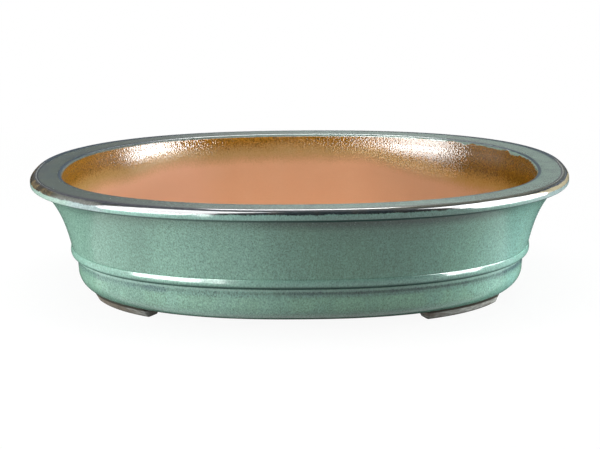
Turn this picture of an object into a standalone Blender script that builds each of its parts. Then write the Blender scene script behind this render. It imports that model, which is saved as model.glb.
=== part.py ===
"""Oval bonsai pot on four low feet, as the clay pieces that are luted together before firing.

Metres, +Z up. The origin is on the ground under the middle of the pot. X runs along the pot,
and the side that is shown faces -Y.

Every level section of the pot is an oval, |x/a|^n + |y/b|^n = 1, set in from the rim's outer
edge in two ways. Its lean draws the long sides in by less than the ends. Its depth is the same
all round, as a wall's thickness is.
"""
import math

import bmesh
import bpy

LENGTH = 0.500
WIDTH = 0.400
OVAL_POWER = 2.35  # 2 is an ellipse, and more is squarer
SIDE_LEAN = 0.85  # how far the long sides lean for each metre that the ends do
SECTIONS = 96  # points round an oval
FIT = 0.0003  # gap between pieces that touch

# The heights add up from the ground to the top of the rim
FOOT_HEIGHT = 0.0075  # clear height under the pot
HEEL_HEIGHT = 0.0190  # the lowest part of the wall, which turns under
BAND_RISE = 0.0141  # from there up to the band
BAND_HEIGHT = 0.0083
FLARE_HEIGHT = 0.0581  # from the band up to the rim
RIM_LOWER_RADIUS = 0.0015
RIM_STRAIGHT = 0.0020
RIM_EDGE_RADIUS = 0.0055

RIM_WIDTH = 0.0280
RIM_INNER_RADIUS = 0.0020
TONGUE_WIDTH = 0.0080  # the wall's tongue, in the groove under the rim
TONGUE_HEIGHT = 0.0040

WALL_THICKNESS = 0.0095
WALL_TOP_LEAN = 0.0085  # where the wall meets the rim
FLARE_LEAN = 0.0273  # from there to the top of the band
BAND_LEAN = 0.0046  # over the height of the band
LOW_LEAN = 0.0009  # from there to the heel
FLARE_STRAIGHT = 0.5  # share of the flare that is a plain slope
FLARE_POWER = 3.0  # how late the rest of the flare opens out under the rim

BAND_BULGE = 0.0010  # how far the band's face stands out past the wall above it
BAND_FULLNESS = 0.5  # 1 is an even round, and less is squarer
BAND_GROOVE = 0.0015  # depth of the wall's groove that the band lies in

HEEL_WIDTH = 0.0225
CORNER_RADIUS = 0.0100  # inside, where the wall meets the floor
LEDGE_THICKNESS = 0.0050  # the wall's ledge, which the floor's lap rests on
LEDGE_WIDTH = 0.0090  # flat underside of the wall
FLOOR_LAP = 0.0050  # thickness of the floor's lap

DRAIN_DIAMETER = 0.0420
DRAIN_SPACING = 0.1700
DRAIN_SIDES = 48
DRAIN_CUT_LENGTH = 3.0  # the drain cutter's length for each metre of the floor's thickness

# A foot's first end is the one nearer the end of the pot
FOOT_BATTER_FIRST = 0.0092  # how far in the foot's face stands at the ground, at its first end
FOOT_BATTER_LAST = 0.0135  # the same at its last end
FOOT_REACH = 0.0115  # how far in the foot goes under the flat underside
FOOT_SPREAD = 5.0  # degrees that the first end runs out from its top to the ground
FOOT_SPLAY = 1.0  # degrees that the last end runs in from its top to the ground
FOOT_TAPER = 2.7  # degrees that the last end loses from the foot's face to its inner side
FOOT_ROUNDING = 0.0025
# Each foot's side in X and in Y, and its two ends at the ground in degrees round the oval
FEET = {
    "foot_front_right": (1, -1, 23.0, 58.0),
    "foot_front_left": (-1, -1, 17.5, 49.0),
    "foot_back_right": (1, 1, 23.0, 58.0),
    "foot_back_left": (-1, 1, 17.5, 49.0),
}

# Points along each curved stretch
EDGE_STEPS = 5
FLARE_STEPS = 8
BAND_STEPS = 8
HEEL_STEPS = 6
HEEL_STEPS_OVER_FOOT = 3
CORNER_STEPS = 4
FOOT_STEPS = 14
SMALL_STEPS = 2
SHARP_ANGLE = math.radians(35)

# Linear colour, roughness, metallic
GLAZE = ((0.235, 0.370, 0.300), 0.18, 0.0)
RIM_GLAZE = ((0.260, 0.300, 0.280), 0.20, 0.0)
BAND_GLAZE = ((0.250, 0.390, 0.320), 0.15, 0.0)
BARE_CLAY = ((0.560, 0.250, 0.130), 0.75, 0.0)
FOOT_CLAY = ((0.150, 0.155, 0.140), 0.60, 0.0)

WALL_BAND_LEAN = WALL_TOP_LEAN + FLARE_LEAN
WALL_LOW_LEAN = WALL_BAND_LEAN + BAND_LEAN
HEEL_LEAN = WALL_LOW_LEAN + LOW_LEAN

HEEL_TOP = FOOT_HEIGHT + HEEL_HEIGHT
BAND_BOTTOM = HEEL_TOP + BAND_RISE
BAND_TOP = BAND_BOTTOM + BAND_HEIGHT
RIM_BOTTOM = BAND_TOP + FLARE_HEIGHT
RIM_TOP = RIM_BOTTOM + RIM_LOWER_RADIUS + RIM_STRAIGHT + RIM_EDGE_RADIUS
WALL_TOP = RIM_BOTTOM - FIT

LEDGE_TOP = FOOT_HEIGHT + LEDGE_THICKNESS
LAP_BOTTOM = LEDGE_TOP + FIT
FLOOR_TOP = LAP_BOTTOM + FLOOR_LAP
CORNER_DEPTH = WALL_THICKNESS + CORNER_RADIUS
LEDGE_DEPTH = max(CORNER_DEPTH, HEEL_WIDTH) + LEDGE_WIDTH


def mix(start, end, share):
    return start + (end - start) * share


def oval_point(angle, lean, depth, height):
    """A point of the oval that is set in by a lean and a depth."""
    power = 2 / OVAL_POWER
    along, across = math.cos(angle), math.sin(angle)
    half_length = LENGTH / 2 - lean - depth
    half_width = WIDTH / 2 - SIDE_LEAN * lean - depth
    return (
        half_length * math.copysign(abs(along) ** power, along),
        half_width * math.copysign(abs(across) ** power, across),
        height,
    )


def inner_surface(height):
    """Lean, depth and height of the inside: straight from the rim to the band, then upright."""
    share = min((RIM_TOP - height) / (RIM_TOP - BAND_BOTTOM), 1)
    low_share = max((BAND_BOTTOM - height) / (BAND_BOTTOM - FLOOR_TOP), 0)
    lean = mix(0, WALL_LOW_LEAN, share) + LOW_LEAN * low_share
    return lean, mix(RIM_WIDTH, WALL_THICKNESS, share), height


def tongue_middle():
    """Lean and depth of the middle of the wall's top."""
    inner_lean, inner_depth, _ = inner_surface(WALL_TOP)
    return (WALL_TOP_LEAN + inner_lean) / 2, inner_depth / 2


def heel(angle, gap=0.0):
    """Depth and height on the wall's turn, by the angle down from its top, with a gap outside it."""
    down, under = math.cos(angle), math.sin(angle)
    reach = math.hypot(HEEL_HEIGHT * down, HEEL_WIDTH * under)
    depth = HEEL_WIDTH * (1 - down) - gap * HEEL_HEIGHT * down / reach
    height = HEEL_TOP - HEEL_HEIGHT * under - gap * HEEL_WIDTH * under / reach
    return depth, height


def heel_angles(first_step):
    quarter = math.pi / 2
    return [quarter * step / HEEL_STEPS for step in range(first_step, HEEL_STEPS + 1)]


def quarter_arc(depth, height, radius, first_quarter, steps):
    """A quarter circle in the rim's section, about a centre, in quarters from the inward side."""
    points = []
    for step in range(steps + 1):
        angle = math.pi / 2 * (first_quarter + step / steps)
        points.append((0, depth + radius * math.cos(angle), height + radius * math.sin(angle)))
    return points


def rim_profile():
    """The collar's section, from its inner edge over the top and back underneath."""
    inner_radius, edge_radius, lower_radius = RIM_INNER_RADIUS, RIM_EDGE_RADIUS, RIM_LOWER_RADIUS
    points = [inner_surface(RIM_BOTTOM)]
    points += quarter_arc(RIM_WIDTH - inner_radius, RIM_TOP - inner_radius, inner_radius, 0, SMALL_STEPS)
    points += quarter_arc(edge_radius, RIM_TOP - edge_radius, edge_radius, 1, EDGE_STEPS)
    points += quarter_arc(lower_radius, RIM_BOTTOM + lower_radius, lower_radius, 2, SMALL_STEPS)
    lean, depth = tongue_middle()
    half = TONGUE_WIDTH / 2 + FIT
    groove_top = RIM_BOTTOM + TONGUE_HEIGHT
    points.append((lean, depth - half, RIM_BOTTOM))
    points.append((lean, depth - half, groove_top))
    points.append((lean, depth + half, groove_top))
    points.append((lean, depth + half, RIM_BOTTOM))
    return points


def flare_profile():
    """The outside from the rim down to the band."""
    points = []
    for step in range(FLARE_STEPS + 1):
        left = 1 - step / FLARE_STEPS
        opening = FLARE_STRAIGHT * left + (1 - FLARE_STRAIGHT) * left**FLARE_POWER
        points.append((WALL_BAND_LEAN - FLARE_LEAN * opening, 0, mix(BAND_TOP + FIT, WALL_TOP, left)))
    return points


def wall_profile():
    """The side wall's section, down the outside, under the heel, and up the inside."""
    points = flare_profile()
    points.append((WALL_BAND_LEAN, BAND_GROOVE, BAND_TOP + FIT))
    points.append((WALL_LOW_LEAN, BAND_GROOVE, BAND_BOTTOM - FIT))
    points.append((WALL_LOW_LEAN, 0, BAND_BOTTOM - FIT))
    points += [(HEEL_LEAN, *heel(angle)) for angle in heel_angles(0)]
    points.append((HEEL_LEAN, LEDGE_DEPTH, FOOT_HEIGHT))
    points.append((HEEL_LEAN, LEDGE_DEPTH, LEDGE_TOP))
    points.append((HEEL_LEAN, CORNER_DEPTH, LEDGE_TOP))
    start_lean, start_depth, start_height = inner_surface(FLOOR_TOP + CORNER_RADIUS)
    for step in range(CORNER_STEPS + 1):
        share = step / CORNER_STEPS
        points.append((
            mix(HEEL_LEAN, start_lean, share),
            start_depth + CORNER_RADIUS * (1 - share) ** 2,
            mix(FLOOR_TOP, start_height, share**2),
        ))
    points.append(inner_surface(BAND_BOTTOM))
    points.append(inner_surface(WALL_TOP))
    lean, depth = tongue_middle()
    half = TONGUE_WIDTH / 2
    tongue_top = WALL_TOP + TONGUE_HEIGHT
    points.append((lean, depth + half, WALL_TOP))
    points.append((lean, depth + half, tongue_top))
    points.append((lean, depth - half, tongue_top))
    points.append((lean, depth - half, WALL_TOP))
    return points


def band_profile():
    """The clay string: an upright face with round edges, flat where it lies in the wall's groove."""
    points = []
    for step in range(BAND_STEPS + 1):
        angle = math.pi * step / BAND_STEPS
        down = (1 - math.cos(angle)) / 2
        points.append((
            mix(WALL_BAND_LEAN, WALL_LOW_LEAN, down),
            -(BAND_BULGE + BAND_LEAN * down) * math.sin(angle) ** BAND_FULLNESS,
            mix(BAND_TOP, BAND_BOTTOM, down),
        ))
    points.append((WALL_LOW_LEAN, BAND_GROOVE - FIT, BAND_BOTTOM))
    points.append((WALL_BAND_LEAN, BAND_GROOVE - FIT, BAND_TOP))
    return points


def floor_profile():
    """The slab's edge, with the lap that rests on the wall's ledge."""
    return [
        (HEEL_LEAN, CORNER_DEPTH + FIT, FLOOR_TOP),
        (HEEL_LEAN, CORNER_DEPTH + FIT, LAP_BOTTOM),
        (HEEL_LEAN, LEDGE_DEPTH + FIT, LAP_BOTTOM),
        (HEEL_LEAN, LEDGE_DEPTH + FIT, FOOT_HEIGHT),
    ]


def foot_profile(batter):
    """The foot's section: along the wall's turn, down the inner face, and across the sole."""
    points = [heel(angle, FIT) for angle in heel_angles(HEEL_STEPS_OVER_FOOT)]
    outer_depth = points[0][0] + batter
    inner_depth = HEEL_WIDTH + FOOT_REACH
    points.append((inner_depth, FOOT_HEIGHT - FIT))
    points.append((inner_depth, 0))
    points.append((outer_depth, 0))
    return points


def skin(bm, first, second, closed):
    """Faces between two rows of vertices."""
    count = len(first)
    for here in range(count if closed else count - 1):
        after = (here + 1) % count
        bm.faces.new((first[here], first[after], second[after], second[here]))


def oval_rows(bm, profile):
    angles = [2 * math.pi * section / SECTIONS for section in range(SECTIONS)]
    return [[bm.verts.new(oval_point(angle, *point)) for angle in angles] for point in profile]


def add_material(obj, finish):
    colour, roughness, metallic = finish
    material = bpy.data.materials.new(obj.name)
    material.use_nodes = True
    shader = material.node_tree.nodes["Principled BSDF"]
    shader.inputs["Base Color"].default_value = (*colour, 1)
    shader.inputs["Roughness"].default_value = roughness
    shader.inputs["Metallic"].default_value = metallic
    material.diffuse_color = (*colour, 1)
    obj.data.materials.append(material)


def finish_object(bm, name, finish):
    """Turn the faces out, shade them smooth up to sharp edges, and add the object to the pot."""
    bmesh.ops.recalc_face_normals(bm, faces=bm.faces)
    mesh = bpy.data.meshes.new(name)
    bm.to_mesh(mesh)
    bm.free()
    mesh.shade_smooth()
    mesh.set_sharp_from_angle(angle=SHARP_ANGLE)
    obj = bpy.data.objects.new(name, mesh)
    pot.objects.link(obj)
    add_material(obj, finish)
    return obj


def make_hoop(name, profile, finish):
    """A closed section carried round the oval."""
    bm = bmesh.new()
    rows = oval_rows(bm, profile)
    for first, second in zip(rows, rows[1:] + rows[:1]):
        skin(bm, first, second, closed=True)
    return finish_object(bm, name, finish)


def make_floor():
    bm = bmesh.new()
    rows = oval_rows(bm, floor_profile())
    for first, second in zip(rows, rows[1:]):
        skin(bm, first, second, closed=True)
    bm.faces.new(rows[0])
    bm.faces.new(rows[-1])
    floor = finish_object(bm, "floor_slab", BARE_CLAY)
    for side in (-1, 1):
        cut_drain(floor, side)
    return floor


def cut_drain(floor, side):
    bpy.ops.mesh.primitive_cylinder_add(
        vertices=DRAIN_SIDES,
        radius=DRAIN_DIAMETER / 2,
        depth=DRAIN_CUT_LENGTH * (FLOOR_TOP - FOOT_HEIGHT),
        location=(side * DRAIN_SPACING / 2, 0, (FLOOR_TOP + FOOT_HEIGHT) / 2),
    )
    cutter = bpy.context.object
    cutter.name = "drain_cutter_right" if side > 0 else "drain_cutter_left"
    for collection in list(cutter.users_collection):
        collection.objects.unlink(cutter)
    cutters.objects.link(cutter)
    cutter.hide_render = True
    cutter.display_type = "WIRE"
    boolean = floor.modifiers.new(cutter.name, "BOOLEAN")
    boolean.operation = "DIFFERENCE"
    boolean.solver = "EXACT"
    boolean.object = cutter


def make_foot(name, side_x, side_y, first_angle, last_angle):
    """A curved block along the oval, with sloping ends."""
    bm = bmesh.new()
    rows = []
    for step in range(FOOT_STEPS + 1):
        share = step / FOOT_STEPS
        profile = foot_profile(mix(FOOT_BATTER_FIRST, FOOT_BATTER_LAST, share))
        top_depth, foot_top = profile[0]
        inner_depth = HEEL_WIDTH + FOOT_REACH
        row = []
        for depth, height in profile:
            up = height / foot_top
            inward = (depth - top_depth) / (inner_depth - top_depth)
            first = first_angle + FOOT_SPREAD * up
            last = last_angle + FOOT_SPLAY * up - FOOT_TAPER * inward
            x, y, z = oval_point(math.radians(mix(first, last, share)), HEEL_LEAN, depth, height)
            row.append(bm.verts.new((side_x * x, side_y * y, z)))
        rows.append(row)
    for first, second in zip(rows, rows[1:]):
        skin(bm, first, second, closed=True)
    bm.faces.new(rows[0])
    bm.faces.new(rows[-1])
    bmesh.ops.recalc_face_normals(bm, faces=bm.faces)
    soles = {vert for row in rows for vert in row[-2:]}
    edges = [
        edge for edge in bm.edges
        if soles.intersection(edge.verts) and edge.calc_face_angle() > SHARP_ANGLE
    ]
    bmesh.ops.bevel(bm, geom=edges, offset=FOOT_ROUNDING, segments=SMALL_STEPS,
                    profile=0.5, affect="EDGES", clamp_overlap=True)
    return finish_object(bm, name, FOOT_CLAY)


for leftover in list(bpy.data.objects):
    bpy.data.objects.remove(leftover)
pot = bpy.data.collections.new("oval_bonsai_pot")
cutters = bpy.data.collections.new("cutters")
bpy.context.scene.collection.children.link(pot)
bpy.context.scene.collection.children.link(cutters)

make_hoop("pot_wall", wall_profile(), GLAZE)
make_hoop("rim", rim_profile(), RIM_GLAZE)
make_hoop("waist_band", band_profile(), BAND_GLAZE)
make_floor()
for foot_name, placing in FEET.items():
    make_foot(foot_name, *placing)
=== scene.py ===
"""The looks of an oval bonsai pot: speckled green glaze outside, amber glaze and bare clay inside.

Metres, +Z up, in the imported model's frame. A section of the pot is a row of points, each with a
lean, a depth and a height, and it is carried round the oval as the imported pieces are.
"""
import math

import bmesh
import bpy
import numpy as np
from mathutils import Matrix, Vector, noise


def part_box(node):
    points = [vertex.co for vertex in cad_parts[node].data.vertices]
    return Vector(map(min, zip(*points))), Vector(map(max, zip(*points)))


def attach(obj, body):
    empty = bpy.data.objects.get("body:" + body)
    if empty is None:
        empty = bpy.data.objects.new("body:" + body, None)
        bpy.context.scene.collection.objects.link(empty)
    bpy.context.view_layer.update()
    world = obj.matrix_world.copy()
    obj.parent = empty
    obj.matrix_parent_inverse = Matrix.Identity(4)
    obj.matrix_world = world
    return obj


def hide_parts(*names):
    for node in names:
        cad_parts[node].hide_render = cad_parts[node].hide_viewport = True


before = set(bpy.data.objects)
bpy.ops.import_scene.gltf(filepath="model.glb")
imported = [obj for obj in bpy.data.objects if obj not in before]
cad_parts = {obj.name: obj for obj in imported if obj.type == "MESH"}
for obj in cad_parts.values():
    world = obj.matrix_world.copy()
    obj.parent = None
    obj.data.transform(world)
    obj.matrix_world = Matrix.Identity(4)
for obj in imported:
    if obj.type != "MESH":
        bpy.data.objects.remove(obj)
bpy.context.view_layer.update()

MM = 0.001
QUARTER = math.pi / 2

rim_low, rim_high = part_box("rim")
band_low, band_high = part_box("waist_band")
HALF_LENGTH = rim_high.x
HALF_WIDTH = rim_high.y
RIM_TOP, RIM_BOTTOM = rim_high.z, rim_low.z
BAND_TOP, BAND_BOTTOM = band_high.z, band_low.z
FLOOR_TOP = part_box("floor_slab")[1].z
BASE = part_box("pot_wall")[0].z

# The oval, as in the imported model
OVAL_POWER = 2.35
INNER_POWER_LOSS = 2.5  # for each metre of depth: the oval grows rounder inwards
SIDE_LEAN = 0.85

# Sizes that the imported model's boxes don't show
FIT = 0.0003  # gap between pieces that touch
RIM_WIDTH = 0.0280
RIM_EDGE_RADIUS = 0.0055
RIM_LOWER_RADIUS = 0.0015
RIM_INNER_RADIUS = 0.0020
RIM_DROOP = 0.0015  # how far the rim's inner edge sinks at the two ends
RIM_DISH = 0.00025  # hollow of the rim's flat top
RIM_RIDGE = 0.00015  # raised line of glaze at the edge of the flat top
RIM_SEAT_DEPTH = 0.0060  # how deep in the wall the rim's underside ends
WALL_THICKNESS = 0.0095
WALL_TOP_LEAN = 0.0085
WALL_BAND_LEAN = 0.0358
WALL_LOW_LEAN = 0.0404
WALL_LAP = 0.0002  # how far the wall's outside goes up into the rim
HEEL_LEAN = 0.0413
FLARE_STRAIGHT = 0.5
FLARE_POWER = 3.0
HEEL_WIDTH = 0.0225
HEEL_HEIGHT = 0.0190
CORNER_RADIUS = 0.0100
LEDGE_THICKNESS = 0.0050
LEDGE_WIDTH = 0.0090
BAND_BULGE = 0.0010
BAND_FULLNESS = 0.6
BAND_LOWER_FULLNESS = 0.8  # the glaze rounds the string's underside
BAND_ROOT = 0.0012  # how deep the string lies in the wall
DRAIN_RADIUS = 0.0210
DRAIN_PLACE = 0.0850
DRAIN_ROUNDING = 0.0012
CUT_PAST = 0.0040  # how far the drain's cutter stands out of the floor
UNDERSIDE = 0.0010  # the floor's faces within this of its base have the underside's clay
FOOT_TOP_ANGLE = 45.0
FOOT_BATTER_FIRST = 0.0092
FOOT_BATTER_LAST = 0.0135
FOOT_REACH = 0.0115
FOOT_SPREAD = 4.0
FOOT_SPLAY = 1.0
FOOT_TAPER = 2.7
FOOT_ROUNDING = 0.0020
FOOT_END_RADIUS = 0.0030
FOOT_TOP_SHRINK = 0.3  # share of its ends' rounding that a foot's top edge takes part in
FOOT_RUN_SHARE = 0.8  # a foot's length over that of its angle on a circle of the rim's mean radius
FOOT_SINK = 0.0004  # how far in the foot's top lies in the heel
FOOT_SINK_UP = 0.0006  # how far up it does
FEET = {
    "foot_front_right": (1, -1, 23.0, 58.0),
    "foot_front_left": (-1, -1, 17.5, 49.0),
    "foot_back_right": (1, 1, 23.0, 58.0),
    "foot_back_left": (-1, 1, 17.5, 49.0),
}

HEEL_TOP = BASE + HEEL_HEIGHT
CORNER_DEPTH = WALL_THICKNESS + CORNER_RADIUS
LEDGE_DEPTH = HEEL_WIDTH + LEDGE_WIDTH

# How far past a curve the straight after it starts, so that no two points meet
EDGE_TO_SIDE = 0.0004
EDGE_TO_UNDER = 0.0006
HEEL_TO_UNDER = 0.0003

# Steps along each stretch of a section, and round the pot
ROUND_POINTS = 360
RIM_INSIDE_STEPS = 14
RIM_INNER_STEPS = 8
RIM_TOP_STEPS = 24
RIM_EDGE_STEPS = 18
RIM_SIDE_STEPS = 5
RIM_LOWER_STEPS = 6
RIM_UNDER_STEPS = 8
BAND_STEPS = 28
FILLET_STEPS = 9
FLARE_STEPS = 40
BEHIND_BAND_STEPS = 8
LOW_WALL_STEPS = 12
HEEL_STEPS = 24
UNDER_STEPS = 4
CORNER_STEPS = 12
INSIDE_STEPS = 48
DRAIN_POINTS = 96
DRAIN_STEPS = 6
FOOT_STEPS = 30
FOOT_ROUND_STEPS = 8

RIM_FILLET = 0.0016  # the glaze rounds the corner under the rim
PEEL = 0.00034  # depth of the inside glaze's orange-peel skin
UNEVENNESS = 0.00022  # how far hand-pressed clay strays from its true shape
UNEVEN_SIZE = 0.045
SHARP_ANGLE = math.radians(50)
FLOOR_SHARP_ANGLE = math.radians(30)

# The camera that matches the photograph
CAMERA_PLACE = (0.0110, -1.5376, 0.4098)
CAMERA_TURN = math.radians(-0.4085)  # to the right of +Y
CAMERA_DIP = math.radians(12.859)
CAMERA_ROLL = math.radians(-0.4733)
CAMERA_LENS = 99.92
SENSOR = 36.0

WHITE = (1.0, 1.0, 1.0)
BLACK = (0.0, 0.0, 0.0)
WORLD_LIGHT = 0.10  # the surround as light on the pot
FLOOR_SIZE = 30.0
FLOOR_AS_LIGHT = (0.25, 0.25, 0.25)  # the floor's colour to all rays but the camera's
FLOOR_SEEN = (0.95, 0.95, 0.95)
FLOOR_GLOW = 0.93  # how far the floor by the pot is lifted towards white for the camera
GLOW_NEAR, GLOW_FAR = 0.3, 1.0  # from where to where that grows to all the way
CARD_DARK = 0.03


def mix(start, end, share):
    return start + (end - start) * share


def shares(count):
    """Even steps from 0 to 1."""
    return [step / count for step in range(count + 1)]


def smooth(value):
    value = np.clip(value, 0, 1)
    return value * value * (3 - 2 * value)


def oval(angles, lean, depth):
    """Points of the oval that is set in by a lean and a depth."""
    power = 2 / (OVAL_POWER - INNER_POWER_LOSS * max(depth, 0))
    along, across = np.cos(angles), np.sin(angles)
    half_length = HALF_LENGTH - lean - depth
    half_width = HALF_WIDTH - SIDE_LEAN * lean - depth
    return (
        half_length * np.copysign(np.abs(along) ** power, along),
        half_width * np.copysign(np.abs(across) ** power, across),
    )


def even_angles(count):
    """Angles that space points evenly round the rim."""
    fine = np.linspace(0, 2 * math.pi, 40 * count + 1)
    x, y = oval(fine, 0, 0)
    run = np.concatenate([[0], np.cumsum(np.hypot(np.diff(x), np.diff(y)))])
    return np.interp(np.linspace(0, run[-1], count, endpoint=False), run, fine)


def line(start, end, count):
    """Points from a start up to but not including an end."""
    return [tuple(mix(np.array(start), np.array(end), share)) for share in shares(count)[:-1]]


def arc(depth, height, radius, first, last, count):
    """Points of a circle in a section, by quarters from the inward side."""
    points = []
    for share in shares(count):
        angle = QUARTER * mix(first, last, share)
        points.append((0, depth + radius * math.cos(angle), height + radius * math.sin(angle)))
    return points


def inner_surface(height):
    """Lean, depth and height of the pot's inside."""
    share = min((RIM_TOP - height) / (RIM_TOP - BAND_BOTTOM), 1)
    low_share = max((BAND_BOTTOM - height) / (BAND_BOTTOM - FLOOR_TOP), 0)
    lean = WALL_LOW_LEAN * share + (HEEL_LEAN - WALL_LOW_LEAN) * low_share
    return lean, mix(RIM_WIDTH, WALL_THICKNESS, share), height


def flare(left):
    """Lean and height of the wall's outside, from the band (0) up to the rim (1)."""
    opening = FLARE_STRAIGHT * left + (1 - FLARE_STRAIGHT) * left**FLARE_POWER
    lean = WALL_BAND_LEAN - (WALL_BAND_LEAN - WALL_TOP_LEAN) * opening
    return lean, mix(BAND_TOP, RIM_BOTTOM, left)


def course_of(points):
    """Distance along a section, from its first point."""
    flat = np.array([(lean + depth, height) for lean, depth, height in points])
    return np.concatenate([[0], np.cumsum(np.hypot(*np.diff(flat, axis=0).T))])


def waver(points, amount, size):
    """How far each point strays from its true place, by smooth noise."""
    return np.array([noise.noise(Vector(point) / size) for point in points]) * amount


def rim_sag(x, height, depth):
    """The rim's inner side sinks a little at the two ends."""
    end = np.clip(np.abs(x) / HALF_LENGTH, 0, 1) ** 4
    return height - RIM_DROOP * end * smooth(np.array(depth / RIM_WIDTH))


def hoop(name, stretches, start_course=0.0, sagging=False):
    """A closed section carried round the oval. A stretch is a finish's number and its points."""
    points = [point for _, stretch in stretches for point in stretch]
    finish_numbers = [number for number, stretch in stretches for _ in stretch]
    course = course_of(points) + start_course
    angles = even_angles(ROUND_POINTS)
    rows = []
    for lean, depth, height in points:
        x, y = oval(angles, lean, depth)
        z = np.full_like(x, height)
        if sagging:
            z = rim_sag(x, height, depth)
        rows.append(np.stack([x, y, z], axis=1))
    places = np.concatenate(rows)
    inward = -places * (1, 1, 0)
    inward /= np.linalg.norm(inward, axis=1)[:, None]
    places += inward * (UNEVENNESS + waver(places, UNEVENNESS, UNEVEN_SIZE))[:, None]
    bm = bmesh.new()
    verts = [bm.verts.new(place) for place in places]
    for row in range(len(points)):
        below = (row + 1) % len(points)
        for here in range(ROUND_POINTS):
            after = (here + 1) % ROUND_POINTS
            face = bm.faces.new((
                verts[row * ROUND_POINTS + here], verts[row * ROUND_POINTS + after],
                verts[below * ROUND_POINTS + after], verts[below * ROUND_POINTS + here],
            ))
            face.material_index = finish_numbers[row]
    obj = finish_mesh(bm, name)
    attribute = obj.data.attributes.new("course", "FLOAT", "POINT")
    attribute.data.foreach_set("value", np.repeat(course, ROUND_POINTS).astype(np.float32))
    return obj


def skin(bm, rows):
    """Faces between rings of points, and over the first and the last ring."""
    for first, second in zip(rows, rows[1:]):
        for here in range(len(first)):
            after = (here + 1) % len(first)
            bm.faces.new((first[here], first[after], second[after], second[here]))
    bm.faces.new(rows[0])
    bm.faces.new(rows[-1])


def finish_mesh(bm, name):
    """A smooth object from a bmesh, with its sharp edges kept."""
    bmesh.ops.recalc_face_normals(bm, faces=bm.faces)
    mesh = bpy.data.meshes.new(name)
    bm.to_mesh(mesh)
    bm.free()
    mesh.shade_smooth()
    mesh.set_sharp_from_angle(angle=SHARP_ANGLE)
    obj = bpy.data.objects.new(name, mesh)
    bpy.context.scene.collection.objects.link(obj)
    return obj


class Wire:
    """A node's socket. Python's operators on it add the nodes that work them out."""

    def __init__(self, wiring, socket):
        self.wiring = wiring
        self.socket = socket

    def __add__(self, other):
        return self.wiring.work("ADD", self, other)

    def __radd__(self, other):
        return self.wiring.work("ADD", other, self)

    def __sub__(self, other):
        return self.wiring.work("SUBTRACT", self, other)

    def __rsub__(self, other):
        return self.wiring.work("SUBTRACT", other, self)

    def __mul__(self, other):
        return self.wiring.work("MULTIPLY", self, other)

    def __rmul__(self, other):
        return self.wiring.work("MULTIPLY", other, self)

    def __neg__(self):
        return self.wiring.work("MULTIPLY", self, -1)


class Wiring:
    """The nodes of a finish or of the world, and the wires between them."""

    def __init__(self, tree):
        self.tree = tree

    def node(self, kind, settings=None, sockets=None, output=0):
        """Adds a node, sets it up, and gives its sockets their values or links."""
        made = self.tree.nodes.new(kind)
        for name, value in (settings or {}).items():
            setattr(made, name, value)
        for name, value in (sockets or {}).items():
            self.feed(made.inputs[name], value)
        return Wire(self, made.outputs[output])

    def feed(self, socket, value):
        if isinstance(value, Wire):
            self.tree.links.new(value.socket, socket)
        elif socket.type == "RGBA" and len(value) == 3:
            socket.default_value = (*value, 1)
        else:
            socket.default_value = value

    def is_vector(self, value):
        if isinstance(value, Wire):
            return value.socket.type in ("VECTOR", "RGBA")
        return isinstance(value, tuple)

    def work(self, operation, first, second):
        """An operation on numbers, or on vectors where either side is a colour or a vector."""
        if self.is_vector(first) or self.is_vector(second):
            kind = "ShaderNodeVectorMath"
            first, second = [(x,) * 3 if isinstance(x, (int, float)) else x for x in (first, second)]
        else:
            kind = "ShaderNodeMath"
        return self.node(kind, {"operation": operation}, {0: first, 1: second})

    def greater(self, first, second):
        return self.work("MAXIMUM", first, second)

    def rise(self, value, low, high):
        """0 up to low, 1 from high, and a smooth step between."""
        return self.node("ShaderNodeMapRange", {"interpolation_type": "SMOOTHSTEP"}, {
            "Value": value, "From Min": low, "From Max": high})

    def strip(self, value, low, high, soft):
        """1 between low and high, falling to 0 over a soft edge."""
        return self.rise(value, low - soft, low) * (1 - self.rise(value, high, high + soft))

    def blend(self, first, second, share):
        """A colour part of the way from the first to the second."""
        return self.node("ShaderNodeMix", {"data_type": "RGBA"}, {0: share, 6: first, 7: second}, 2)

    def part(self, place, axis):
        """One of a place's three distances."""
        return self.node("ShaderNodeSeparateXYZ", {}, {0: place}, axis)


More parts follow.
